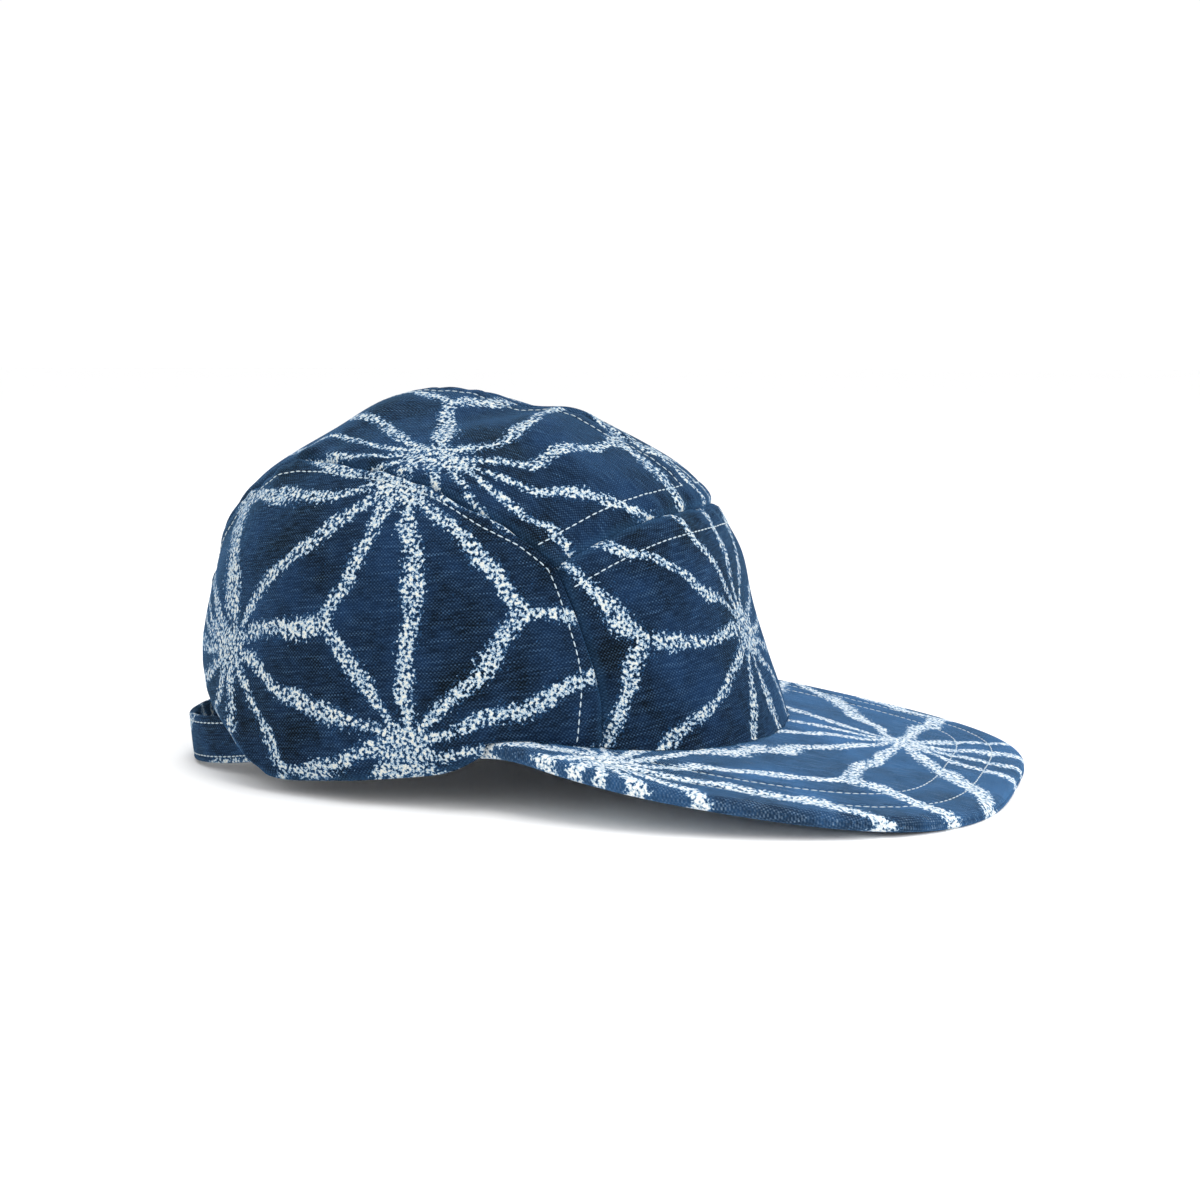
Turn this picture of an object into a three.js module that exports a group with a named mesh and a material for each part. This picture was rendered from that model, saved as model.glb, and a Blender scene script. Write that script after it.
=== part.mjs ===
// Five-panel cloth cap with a flat peak and a cloth strap across the rear opening.
// Millimetres. The peak points to -Y, the wearer's left is +X, and the cap rests on z = 0.
// Each piece is worked out in the cap's own frame (forward, right, up), whose up = 0 is the rim.
import * as THREE from "three";

// Cloth and sewing
const clothThickness = 2;
const seamGap = 0.36;
const seamDip = 1.3;
const seamDipReach = 5;
const hemDip = 1.6;

// Peak: a padded board on a plane that falls away from the rim
const peakThickness = 4.6;
const peakReach = 167;
const peakHalfWidth = 90.5;
const peakBackEdge = 24;
const peakSquareness = 3.3;
const peakSlope = THREE.MathUtils.degToRad(13.8);
const peakRootHeight = -3.8;
const peakRootForward = 95;
const peakCrossDrop = 1.3;
const peakCrossDropAt = 60;
const peakTuck = 15.5;
const peakTuckFrom = 88;
const peakCornerDrop = 4;
const peakCornerFrom = 45;
const peakRootTurn = 73;
const peakSeatTurn = 73.2;
const peakRootInset = 4;
const peakEdgeShare = 0.12; // narrows the rounded edge where the peak is under 8 mm wide

// Strap: a band sewn inside the side panels' rear corners that crosses the rear opening
const strapWidth = 15;
const strapStartTurn = 113;

// Rest: the rear of the strap and the front edge of the peak touch the floor and are pressed flat
const restPress = 0.5;

// Grid of cells on each piece
const alongSideCells = 25;
const upFrontCells = 9;
const acrossHalfCells = 9;
const peakCells = 34;
const strapCells = 34;
const firstCell = 0.45; // the cell at each edge is this part of the others
const peakCrowding = 1.15; // draws the peak's cuts together at its rear corners

const cloth = new THREE.MeshStandardMaterial({ color: 0x24426f, roughness: 0.92, metalness: 0 });
const peakCloth = new THREE.MeshStandardMaterial({ color: 0x335c90, roughness: 0.9, metalness: 0 });

function table(columns, rows) {
  return rows.map((row) => Object.fromEntries(columns.map((name, i) => [name, row[i]])));
}

// The crown from the rim, level 0, to the top, level 1: half sizes of its level cuts.
const crownLevels = table(["level", "height", "front", "back", "half"], [
  [-0.1, -18, 97.0, 95.5, 82.5],
  [0.0, 0, 95.0, 95.0, 82.2],
  [0.1, 18, 90.8, 93.2, 82.0],
  [0.2, 36, 87.2, 90.2, 80.2],
  [0.3, 52, 84.2, 86.6, 77.0],
  [0.4, 66, 77.9, 81.8, 72.0],
  [0.5, 78, 69.4, 76.2, 65.0],
  [0.6, 87.6, 56.4, 67.6, 56.0],
  [0.7, 95.4, 41.4, 54.6, 45.0],
  [0.8, 102.2, 26.0, 38.4, 31.4],
  [0.9, 107.4, 9.6, 22.2, 17.0],
  [1.0, 109.8, -6.0, 6.0, 0.0],
  [1.1, 107.4, -22.2, -9.6, -17.0],
]);
const crownSquareness = 2.15;
const crownMiddleMost = 12;

// Seams and edges as turn from the front, in degrees, and level. The right half is given.
const sideSeam = table(["turn", "level"], [
  [54, -0.03], [51, 0.045], [49.6, 0.11], [51.2, 0.21], [55, 0.325], [62, 0.415], [70, 0.472],
  [81, 0.553], [93, 0.608], [108, 0.645], [123, 0.655], [136, 0.62], [148, 0.545], [157, 0.44],
  [163, 0.335], [166, 0.262],
]);
const crossSeam = table(["turn", "level"], [
  [-16, 0.405], [0, 0.408], [16, 0.405], [30, 0.393], [43, 0.365], [55, 0.325],
]);
const rearOpening = table(["turn", "level"], [
  [120, 0.012], [125, 0.045], [132, 0.078], [140, 0.107], [150, 0.165], [158, 0.222],
  [166, 0.262], [180, 0.277], [194, 0.262],
]);
const sideHem = table(["turn", "height"], [
  [73, 8.4], [75, 6.6], [77.5, 4.4], [80, 2.6], [83, 1.2], [89, 0.1], [100, -0.8], [110, -1.1], [116, -0.2],
  [120, 2.2],
]);
// How far the strap's outer face lies inside the crown, and the height of its lower edge
const strapPath = table(["turn", "inset", "bottom"], [
  [113, 4.9, 3.0], [126, 4.9, 2.2], [134, 4.4, 1.0], [141, 1.5, 0.4], [149, -1.8, 0.1], [158, -3.0, 0],
  [180, -3.4, 0], [202, -3.0, 0],
]);
// The peak's rounded edge from its top face to its lower face: in from the outline, and below the top.
const peakEdgeCut = table(["inset", "drop"], [
  [4.5, 0], [1.7, 0.35], [0.4, 1.2], [0, 2.3], [0.4, 3.4], [1.5, 4.4], [4.3, 4.6],
]);
const peakInnerParts = [0, 0.2, 0.45, 0.7, 0.88];
const junctionTurn = 55;
const openingStartTurn = 120;
const openingSeamTurn = 166;

// Soft folds and fullness of the worn cloth: where on the crown, their size, and how far out.
const folds = table(["turn", "level", "along", "across", "lean", "out"], [
  [0, 0.735, 26, 10, 90, 2.2],
  [20, 0.81, 24, 9, 70, -1.8],
  [148, 0.91, 26, 12, -50, 1.8],
  [95, 0.80, 16, 12, 30, -1.6],
  [122, 0.74, 30, 10, 10, 1.6],
  [140, 0.64, 34, 9, 12, -1.2],
  [96, 0.30, 30, 26, 90, 1.8],
  [70, 0.22, 26, 9, 60, -1.3],
  [128, 0.30, 28, 10, 75, -1.5],
  [28, 0.22, 34, 30, 90, 1.4],
  [34, 0.62, 26, 9, 25, 1.5],
  [-60, 0.72, 26, 10, 20, 1.6],
  [-110, 0.75, 26, 11, 10, -1.6],
  [-90, 0.30, 30, 26, 90, 1.6],
  [75, 0.02, 13, 9, 90, 2.7],
  [-75, 0.02, 13, 9, 90, 2.7],
]);
const discRadius = 150; // millimetres of cloth from the top to the rim
const normalStep = 0.012;
const seamFrontRow = 0.4; // the front seam starts between the side seam's first two rows, on the peak

// A smooth curve through a table's rows
function curveOf(rows, key) {
  const names = Object.keys(rows[0]);
  const slope = (i, name) => {
    const a = rows[Math.max(i - 1, 0)];
    const b = rows[Math.min(i + 1, rows.length - 1)];
    return (b[name] - a[name]) / (b[key] - a[key] || 1);
  };
  return (at) => {
    let i = 0;
    while (i < rows.length - 2 && at > rows[i + 1][key]) {
      i += 1;
    }
    const span = rows[i + 1][key] - rows[i][key];
    const s = span ? (at - rows[i][key]) / span : 0;
    const result = {};
    for (const name of names) {
      const p = rows[i][name];
      const q = rows[i + 1][name];
      const m = slope(i, name) * span;
      const n = slope(i + 1, name) * span;
      const leaving = (p * (1 + 2 * s) + m * s) * (1 - s) ** 2;
      const arriving = (q * (3 - 2 * s) + n * (s - 1)) * s * s;
      result[name] = s < 0 ? p + m * s : leaving + arriving;
    }
    return result;
  };
}

const levelAt = curveOf(crownLevels, "level");
const crossSeamAt = curveOf(crossSeam, "turn");
const rearOpeningAt = curveOf(rearOpening, "turn");
const sideHemAt = curveOf(sideHem, "turn");
const strapAt = curveOf(strapPath, "turn");
// The side seam bends back on itself in turn, so it is read by row number instead.
const sideSeamAt = curveOf(sideSeam.map((row, index) => ({ index, ...row })), "index");
const sideSeamJunction = sideSeam.findIndex((row) => row.turn === junctionTurn);

const power = (value, exponent) => Math.sign(value) * Math.abs(value) ** exponent;

// The disc map: the crown laid flat, its top at (0, 0) and its rim at distance 1.
function onDisc(turn, level) {
  const angle = THREE.MathUtils.degToRad(turn);
  return new THREE.Vector2((1 - level) * Math.cos(angle), (1 - level) * Math.sin(angle));
}

function crownPoint(disc) {
  const distance = Math.max(disc.length(), 1e-6);
  const cut = levelAt(1 - distance);
  const middle = THREE.MathUtils.clamp((cut.front - cut.back) / 2, -crownMiddleMost, crownMiddleMost);
  const ahead = disc.x > 0 ? cut.front - middle : cut.back + middle;
  const exponent = 2 / crownSquareness;
  return new THREE.Vector3(
    middle + ahead * power(disc.x / distance, exponent),
    cut.half * power(disc.y / distance, exponent),
    cut.height,
  );
}

function crownNormal(disc) {
  const far = disc.clone();
  if (far.length() < normalStep * 2) {
    far.setLength(normalStep * 2);
  }
  const radial = far.clone().normalize();
  const around = new THREE.Vector2(-radial.y, radial.x);
  const difference = (direction) => crownPoint(far.clone().addScaledVector(direction, normalStep))
    .sub(crownPoint(far.clone().addScaledVector(direction, -normalStep)));
  return difference(radial).cross(difference(around)).normalize();
}

function foldHeight(disc) {
  let height = 0;
  for (const fold of folds) {
    const centre = onDisc(fold.turn, fold.level);
    const offset = disc.clone().sub(centre).multiplyScalar(discRadius);
    offset.rotateAround(new THREE.Vector2(), -THREE.MathUtils.degToRad(fold.turn + fold.lean));
    height += fold.out * Math.exp(-((offset.x / fold.along) ** 2) - (offset.y / fold.across) ** 2);
  }
  return height;
}

function peakHeight(forward, right) {
  const behind = Math.max(0, peakCornerFrom - forward) / (peakCornerFrom - peakBackEdge);
  return peakRootHeight - Math.tan(peakSlope) * (forward - peakRootForward)
    - peakCrossDrop * (right / peakCrossDropAt) ** 2 - peakCornerDrop * behind ** 2;
}

// Lifts a point of the crown that would sink into the peak.
function seatedOnPeak(point, disc) {
  if (Math.abs(Math.atan2(disc.y, disc.x)) <= THREE.MathUtils.degToRad(peakSeatTurn)) {
    point.z = Math.max(point.z, peakHeight(point.x, point.y) + seamGap);
  }
  return point;
}

// The lower edge of the crown: on the peak in front, and the plain hem behind it.
function hemPoint(turn) {
  const perLevel = (levelAt(0.1).height - levelAt(0).height) / 0.1;
  const bare = crownPoint(onDisc(turn, 0));
  const onPeak = peakHeight(bare.x, bare.y) + seamGap;
  const height = Math.abs(turn) > sideHem[0].turn ? sideHemAt(Math.abs(turn)).height : onPeak;
  return onDisc(turn, height / perLevel);
}

const mix = (a, b, s) => a + (b - a) * s;

function sideSeamPoint(index) {
  const row = sideSeamAt(index);
  return onDisc(row.turn, row.level);
}

// The four edges of each panel on the disc, each as a function of 0 to 1.
const seamFront = (s) => (
  s === 0 ? hemPoint(sideSeam[0].turn) : sideSeamPoint(mix(seamFrontRow, sideSeamJunction, s))
);
const seamTop = (s) => sideSeamPoint(mix(sideSeamJunction, sideSeam.length - 1, s));
const seamCross = (s) => onDisc(mix(0, junctionTurn, s), crossSeamAt(mix(0, junctionTurn, s)).level);
const mirrored = (edge) => (s) => {
  const point = edge(s);
  return new THREE.Vector2(point.x, -point.y);
};
const openingEdge = (from, to) => (s) => onDisc(mix(from, to, s), rearOpeningAt(mix(from, to, s)).level);
const centreSeam = (s) => new THREE.Vector2(
  mix(1 - crossSeamAt(0).level, rearOpeningAt(180).level - 1, s),
  0,
);

const sidePanelEdges = {
  bottom: (s) => hemPoint(mix(sideSeam[0].turn, openingStartTurn, s)),
  top: seamTop,
  start: seamFront,
  end: openingEdge(openingStartTurn, openingSeamTurn),
  sewn: { bottom: 0, top: 1, start: 1, end: 0 },
};
const topPanelEdges = {
  bottom: centreSeam,
  top: seamTop,
  start: seamCross,
  end: (s) => openingEdge(180, openingSeamTurn)(s),
  sewn: { bottom: 1, top: 1, start: 1, end: 0 },
};
const frontPanelEdges = {
  bottom: (s) => hemPoint(mix(-sideSeam[0].turn, sideSeam[0].turn, s)),
  top: (s) => (s < 0.5 ? mirrored(seamCross)(1 - 2 * s) : seamCross(2 * s - 1)),
  start: mirrored(seamFront),
  end: seamFront,
  sewn: { bottom: 1, top: 1, start: 1, end: 1 },
};

// Stations from 0 to 1 with one close to each end, so that the seams' dip has an edge row.
function stations(cells) {
  const list = [0, firstCell / cells];
  for (let i = 1; i < cells; i += 1) {
    list.push(i / cells);
  }
  list.push(1 - firstCell / cells, 1);
  return list;
}

function splitStations(cells) {
  const half = stations(cells);
  return [...half.map((s) => s / 2), ...half.slice(1).map((s) => 0.5 + s / 2)];
}

// A blended point inside four edges
function blended(edges, u, v) {
  const corner = (a, b) => (b ? edges.top : edges.bottom)(a);
  const point = new THREE.Vector2();
  point.addScaledVector(edges.bottom(u), 1 - v).addScaledVector(edges.top(u), v);
  point.addScaledVector(edges.start(v), 1 - u).addScaledVector(edges.end(v), u);
  point.addScaledVector(corner(0, 0), -(1 - u) * (1 - v)).addScaledVector(corner(1, 0), -u * (1 - v));
  point.addScaledVector(corner(0, 1), -(1 - u) * v).addScaledVector(corner(1, 1), -u * v);
  return point;
}

// Rows of outer and inner points become one closed wall. Each row is a list of points.
function closedWall(outer, inner) {
  const rows = outer.length;
  const columns = outer[0].length;
  const positions = [];
  for (const sheet of [outer, inner]) {
    sheet.forEach((row) => row.forEach((point) => positions.push(point.x, point.y, point.z)));
  }
  const at = (side, i, j) => side * rows * columns + i * columns + j;
  const faces = [];
  const quad = (a, b, c, d) => faces.push(a, b, c, a, c, d);
  for (let i = 0; i < rows - 1; i += 1) {
    for (let j = 0; j < columns - 1; j += 1) {
      quad(at(0, i, j), at(0, i + 1, j), at(0, i + 1, j + 1), at(0, i, j + 1));
      quad(at(1, i, j), at(1, i, j + 1), at(1, i + 1, j + 1), at(1, i + 1, j));
    }
    quad(at(0, i, 0), at(1, i, 0), at(1, i + 1, 0), at(0, i + 1, 0));
    quad(at(0, i + 1, columns - 1), at(1, i + 1, columns - 1), at(1, i, columns - 1), at(0, i, columns - 1));
  }
  for (let j = 0; j < columns - 1; j += 1) {
    quad(at(0, 0, j + 1), at(1, 0, j + 1), at(1, 0, j), at(0, 0, j));
    quad(at(0, rows - 1, j), at(1, rows - 1, j), at(1, rows - 1, j + 1), at(0, rows - 1, j + 1));
  }
  const geometry = new THREE.BufferGeometry();
  geometry.setAttribute("position", new THREE.Float32BufferAttribute(positions, 3));
  geometry.setIndex(faces);
  return geometry;
}

function signedVolume(geometry) {
  const position = geometry.getAttribute("position");
  const index = geometry.getIndex();
  const corners = [new THREE.Vector3(), new THREE.Vector3(), new THREE.Vector3()];
  let volume = 0;
  for (let i = 0; i < index.count; i += 3) {
    corners.forEach((corner, k) => corner.fromBufferAttribute(position, index.getX(i + k)));
    volume += corners[0].dot(corners[1].cross(corners[2])) / 6;
  }
  return volume;
}

function facingOut(geometry) {
  if (signedVolume(geometry) < 0) {
    const order = geometry.getIndex().array;
    for (let i = 0; i < order.length; i += 3) {
      [order[i + 1], order[i + 2]] = [order[i + 2], order[i + 1]];
    }
  }
  return geometry;
}

// Turns forward, right, up into X, Y, Z at rest on the floor, and presses flat what would sink in.
const strapRear = strapAt(180);
const tailLow = new THREE.Vector2(-levelAt(0).back + strapRear.inset, strapRear.bottom);
const peakLowRow = peakEdgeCut[peakEdgeCut.length - 2];
const peakLowForward = peakReach - peakLowRow.inset;
const peakLow = new THREE.Vector2(peakLowForward, peakHeight(peakLowForward, 0) - peakLowRow.drop);
const restTilt = Math.atan2(tailLow.y - peakLow.y, peakLow.x - tailLow.x);
const floorDrop = Math.cos(restTilt) * tailLow.y + Math.sin(restTilt) * tailLow.x + restPress;

function atRest(geometry) {
  const position = geometry.getAttribute("position");
  for (let i = 0; i < position.count; i += 1) {
    const forward = position.getX(i);
    const up = position.getZ(i);
    const restForward = Math.cos(restTilt) * forward - Math.sin(restTilt) * up;
    const restUp = Math.cos(restTilt) * up + Math.sin(restTilt) * forward - floorDrop;
    position.setXYZ(i, -position.getY(i), -restForward, Math.max(restUp, 0));
  }
  return facingOut(geometry);
}

function panel(name, edges, uStations, vStations, material, side = 1) {
  const uMiddle = blended(edges, 0.5, 0.5);
  const lengthAlong = crownPoint(blended(edges, 0, 0.5)).distanceTo(crownPoint(uMiddle)) * 2;
  const lengthUp = crownPoint(blended(edges, 0.5, 0)).distanceTo(crownPoint(uMiddle)) * 2;
  const dip = (distance, sewn) => (sewn ? seamDip : hemDip) * Math.exp(-((distance / seamDipReach) ** 2));
  const inset = (s, length) => THREE.MathUtils.clamp(s, seamGap / 2 / length, 1 - seamGap / 2 / length);
  const outer = [];
  const inner = [];
  for (const u of uStations) {
    const outerRow = [];
    const innerRow = [];
    for (const v of vStations) {
      const disc = blended(edges, inset(u, lengthAlong), inset(v, lengthUp));
      disc.y *= side;
      const normal = crownNormal(disc);
      const lowered = dip(v * lengthUp, edges.sewn.bottom) + dip((1 - v) * lengthUp, edges.sewn.top)
        + dip(u * lengthAlong, edges.sewn.start) + dip((1 - u) * lengthAlong, edges.sewn.end);
      const point = crownPoint(disc).addScaledVector(normal, foldHeight(disc) - Math.min(lowered, seamDip));
      outerRow.push(seatedOnPeak(point.clone(), disc));
      innerRow.push(seatedOnPeak(point.clone().addScaledVector(normal, -clothThickness), disc));
    }
    outer.push(outerRow);
    inner.push(innerRow);
  }
  return piece(name, closedWall(outer, inner), material);
}

function piece(name, geometry, material) {
  const mesh = new THREE.Mesh(atRest(geometry), material);
  mesh.name = name;
  return mesh;
}

function peakOutline(s) {
  const angle = (s * Math.PI) / 2;
  const forward = peakBackEdge + (peakReach - peakBackEdge) * power(Math.cos(angle), 2 / peakSquareness);
  const tuck = peakTuck * (Math.max(0, peakTuckFrom - forward) / (peakTuckFrom - peakBackEdge)) ** 2;
  const right = peakHalfWidth * power(Math.sin(angle), 2 / peakSquareness);
  return new THREE.Vector2(forward, right - Math.sign(s) * tuck);
}

function peakRoot(s) {
  const rim = crownPoint(onDisc(s * peakRootTurn, 0));
  const normal = crownNormal(onDisc(s * peakRootTurn, 0)).setZ(0).normalize();
  return new THREE.Vector2(rim.x - normal.x * peakRootInset, rim.y - normal.y * peakRootInset);
}

function peak() {
  const cuts = [];
  for (let i = 0; i <= peakCells; i += 1) {
    const linear = (2 * i) / peakCells - 1;
    const s = Math.sign(linear) * (1 - (1 - Math.abs(linear)) ** peakCrowding);
    const root = peakRoot(s);
    const edge = peakOutline(s);
    const inward = root.clone().sub(edge);
    const width = inward.length();
    inward.normalize();
    const inset = (row) => row.inset * Math.min(1, width * peakEdgeShare);
    const at = (distance, drop) => {
      const spot = edge.clone().addScaledVector(inward, distance);
      return new THREE.Vector3(spot.x, spot.y, peakHeight(spot.x, spot.y) - drop);
    };
    const flat = (part) => width - part * (width - inset(peakEdgeCut[0]));
    const top = peakInnerParts.map((part) => at(flat(part), 0));
    const rolled = peakEdgeCut.map((row) => at(inset(row), row.drop));
    const below = peakInnerParts.map((part) => at(flat(part), peakThickness)).reverse();
    cuts.push([...top, ...rolled, ...below]);
  }
  return piece("peak", closedSections(cuts), peakCloth);
}

// Closed cuts side by side, with a flat face at each end
function closedSections(cuts) {
  const count = cuts[0].length;
  const positions = cuts.flat().flatMap((point) => [point.x, point.y, point.z]);
  const faces = [];
  for (let i = 0; i < cuts.length - 1; i += 1) {
    for (let j = 0; j < count; j += 1) {
      const next = (j + 1) % count;
      const a = i * count + j;
      const b = i * count + next;
      faces.push(a, b, b + count, a, b + count, a + count);
    }
  }
  const ends = [[0, 1], [cuts.length - 1, -1]];
  for (const [cut, way] of ends) {
    const triangle = (a, b, c) => {
      const corners = way > 0 ? [a, b, c] : [a, c, b];
      faces.push(...corners.map((k) => cut * count + k));
    };
    for (let low = 0, high = count - 1; low + 1 < high; low += 1, high -= 1) {
      triangle(low, high, low + 1);
      if (low + 1 < high - 1) {
        triangle(low + 1, high, high - 1);
      }
    }
  }
  const geometry = new THREE.BufferGeometry();
  geometry.setAttribute("position", new THREE.Float32BufferAttribute(positions, 3));
  geometry.setIndex(faces);
  return geometry;
}

function backStrap() {
  const cuts = [];
  for (let i = 0; i <= strapCells; i += 1) {
    const turn = mix(strapStartTurn, 360 - strapStartTurn, i / strapCells);
    const disc = onDisc(turn, 0);
    const outward = crownNormal(disc).setZ(0).normalize();
    const row = strapAt(Math.min(turn, 360 - turn));
    const at = (inset, height) => crownPoint(disc).setZ(height).addScaledVector(outward, -inset);
    const inside = row.inset + clothThickness;
    const heights = [row.bottom, row.bottom + strapWidth / 2, row.bottom + strapWidth];
    cuts.push([
      ...heights.map((height) => at(row.inset, height)),
      ...heights.reverse().map((height) => at(inside, height)),
    ]);
  }
  return piece("back_strap", closedSections(cuts), cloth);
}

const cap = new THREE.Group();
const acrossFront = splitStations(acrossHalfCells);
const across = stations(acrossHalfCells);
const along = stations(alongSideCells);
const up = stations(upFrontCells);

cap.add(panel("front_panel", frontPanelEdges, acrossFront, up, cloth));
for (const [label, side] of [["right", 1], ["left", -1]]) {
  cap.add(panel(`top_panel_${label}`, topPanelEdges, along, across, cloth, side));
  cap.add(panel(`side_panel_${label}`, sidePanelEdges, along, up, cloth, side));
}
cap.add(peak());
cap.add(backStrap());

// The origin is under the middle of the cap, on the floor.
const middle = new THREE.Box3().setFromObject(cap).getCenter(new THREE.Vector3());
cap.position.set(-middle.x, -middle.y, 0);

export default cap;
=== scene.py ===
import bpy
import math
import numpy as np
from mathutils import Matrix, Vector


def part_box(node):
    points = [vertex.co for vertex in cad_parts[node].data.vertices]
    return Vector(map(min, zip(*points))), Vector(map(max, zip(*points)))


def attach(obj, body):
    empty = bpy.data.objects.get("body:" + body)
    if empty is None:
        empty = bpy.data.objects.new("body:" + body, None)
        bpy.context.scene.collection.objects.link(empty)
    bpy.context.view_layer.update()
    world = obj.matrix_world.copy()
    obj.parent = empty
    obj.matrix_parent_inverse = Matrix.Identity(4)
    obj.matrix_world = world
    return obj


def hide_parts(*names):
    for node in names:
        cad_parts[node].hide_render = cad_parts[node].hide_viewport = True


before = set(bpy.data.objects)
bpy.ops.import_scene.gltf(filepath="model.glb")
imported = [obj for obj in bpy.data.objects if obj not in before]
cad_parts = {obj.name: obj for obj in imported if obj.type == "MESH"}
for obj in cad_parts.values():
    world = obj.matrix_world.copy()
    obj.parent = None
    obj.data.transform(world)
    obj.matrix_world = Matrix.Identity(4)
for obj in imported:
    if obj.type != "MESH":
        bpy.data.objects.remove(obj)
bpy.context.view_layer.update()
print("frame loaded")

# Sizes are in millimetres and turns in degrees until a mesh is made. The cap's own frame is
# forward, right, up, with up = 0 at the rim; atRest sets it down on the floor.
millimetre = 0.001

crown = {
    # level, height, half sizes to the front, the back and the side
    "levels": [
        (-0.1, -18, 97.0, 95.5, 82.5), (0.0, 0, 95.0, 95.0, 82.2), (0.1, 18, 90.8, 93.2, 82.0),
        (0.2, 36, 87.2, 90.2, 80.2), (0.3, 52, 84.2, 86.6, 77.0), (0.4, 66, 77.9, 81.8, 72.0),
        (0.5, 78, 69.4, 76.2, 65.0), (0.6, 87.6, 56.4, 67.6, 56.0), (0.7, 95.4, 41.4, 54.6, 45.0),
        (0.8, 102.2, 26.0, 38.4, 31.4), (0.9, 107.4, 9.6, 22.2, 17.0), (1.0, 109.8, -6.0, 6.0, 0.0),
        (1.1, 107.4, -22.2, -9.6, -17.0),
    ],
    # discRadius is the way from the top to the rim, and lengths round the crown are taken at girthLevel
    "squareness": 2.15, "middleMost": 12, "discRadius": 150, "girthLevel": 0.22,
    # turn, level
    "sideSeam": [
        (54, -0.03), (51, 0.045), (49.6, 0.11), (51.2, 0.21), (55, 0.325), (62, 0.415), (70, 0.472),
        (81, 0.553), (93, 0.608), (108, 0.645), (123, 0.655), (136, 0.62), (148, 0.545), (157, 0.44),
        (163, 0.335), (166, 0.262),
    ],
    # rows of sideSeam: where it leaves the front panel's hem, and where the cross seam meets it
    "leaveRow": 0.4,
    "junctionRow": 4,
    "crossSeam": [
        (-16, 0.405), (0, 0.408), (16, 0.405), (30, 0.393), (43, 0.365), (55, 0.325),
    ],
    "rearOpening": [
        (120, 0.012), (125, 0.045), (132, 0.078), (140, 0.107), (150, 0.165), (158, 0.222),
        (166, 0.262), (180, 0.277), (194, 0.262),
    ],
    # turn, height
    "sideHem": [
        (73, 8.4), (75, 6.6), (77.5, 4.4), (80, 2.6), (83, 1.2), (89, 0.1), (100, -0.8), (110, -1.1),
        (116, -0.2), (120, 2.2),
    ],
    "openingStart": 120, "openingCorner": 166,
}

cloth = {
    # spacing of its points, and of those round its rims
    "thickness": 1.6, "spacing": 1.35, "rim": 0.9, "rimSteps": (0, 0.08, 0.3, 0.6, 1.0),
    # sewn edges run over each other, and keep off the peak
    "seamOverlap": 0.3, "peakGap": 0.3,
    # beside an edge: how deep or high, at what distance from it and over what reach
    "seamDip": 1.5, "seamReach": 1.7,
    "hemDip": 1.7, "hemReach": 4.5, "hemRoll": 0.5, "hemRollAt": 4, "hemRollReach": 3.5,
    "rollOut": 0.55, "rollAt": 3.4, "rollReach": 2.6,
    "allowance": 8.2, "allowanceRise": 0.42, "allowanceEdge": (-0.4, 2.2),
    "stitchSink": 0.4, "stitchReach": 0.9,
    "pucker": {"hem": 0.17, "rolled": 0.34, "stitched": 0.442},
    "puckerReach": 9, "puckerLength": 9, "puckerSlant": 0.25,
    "ripple": 0.28, "rippleLength": 34,
}

# Folds of the worn cloth: turn, level, length, width, lean, how far out
folds = [
    (0, 0.735, 26, 10, 90, 2.2), (20, 0.81, 24, 9, 70, -1.8), (148, 0.91, 26, 12, -50, 1.8),
    (95, 0.80, 16, 12, 30, -1.6), (122, 0.74, 30, 10, 10, 1.6), (140, 0.64, 34, 9, 12, -1.2),
    (96, 0.30, 30, 26, 90, 1.8), (70, 0.22, 26, 9, 60, -1.3), (128, 0.30, 28, 10, 75, -1.5),
    (28, 0.22, 34, 30, 90, 1.4), (34, 0.62, 26, 9, 25, 1.5), (-60, 0.72, 26, 10, 20, 1.6),
    (-110, 0.75, 26, 11, 10, -1.6), (-90, 0.30, 30, 26, 90, 1.6), (75, 0.02, 13, 9, 90, 2.7),
    (-75, 0.02, 13, 9, 90, 2.7), (60, 0.79, 24, 7, 60, -2.0), (47, 0.585, 16, 5, 20, -1.3),
    (40, 0.56, 12, 5, 20, 1.1),
]

peakBoard = {
    # plan: from backEdge to reach, with corners tucked in behind tuckFrom
    "reach": 167, "halfWidth": 90.5, "backEdge": 24, "squareness": 3.3, "tuck": 15.5, "tuckFrom": 88,
    # height: the slope from its root, the bow across it and the droop of its rear corners
    "thickness": 4.6, "slope": math.radians(13.8), "rootHeight": -3.8, "rootForward": 95,
    "crossDrop": 1.3, "crossDropAt": 60, "cornerDrop": 4, "cornerFrom": 45,
    # its root under the crown, and how far round the crown sits on it
    "rootTurn": 73, "rootInset": 4, "seatTurn": 73.2,
    # the rolled edge and the seam in its middle
    "sections": 300, "edgeInset": 4.5, "edgeShare": 0.54, "edgeFullness": 0.75, "edgeFill": 0.92,
    "seamGroove": 0.55, "grooveReach": 0.35, "wearInset": 1.2,
    # distances of the stitch rows from the edge, how they sink in, and the ripple between them
    "stitchRows": (9.8, 20.6), "stitchSink": 0.32, "stitchReach": 1.0,
    "rowClear": 1.5, "rowSlack": 0.3, "middle": 80,
    "ripple": 0.12, "rippleLength": 38,
    "pucker": 0.07, "puckerLength": 7, "puckerAt": 14, "puckerReach": 9,
}

strap = {
    "width": 15, "thickness": 1.9, "rim": 0.9, "startTurn": 113,
    # turn, how far its outer face lies inside the crown, height of its lower edge
    "path": [
        (113, 4.9, 3.0), (126, 4.9, 2.2), (134, 4.4, 1.0), (141, 1.5, 0.4), (149, -1.8, 0.1),
        (158, -3.0, 0), (180, -3.4, 0), (202, -3.0, 0),
    ],
    "sections": 240, "faceRows": 18,
    "stitchInset": 2.2, "stitchSink": 0.22, "stitchReach": 0.8, "stitchTrim": 6,
    "ripple": 0.12, "rippleLength": 16, "seamAway": 4,
}

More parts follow.
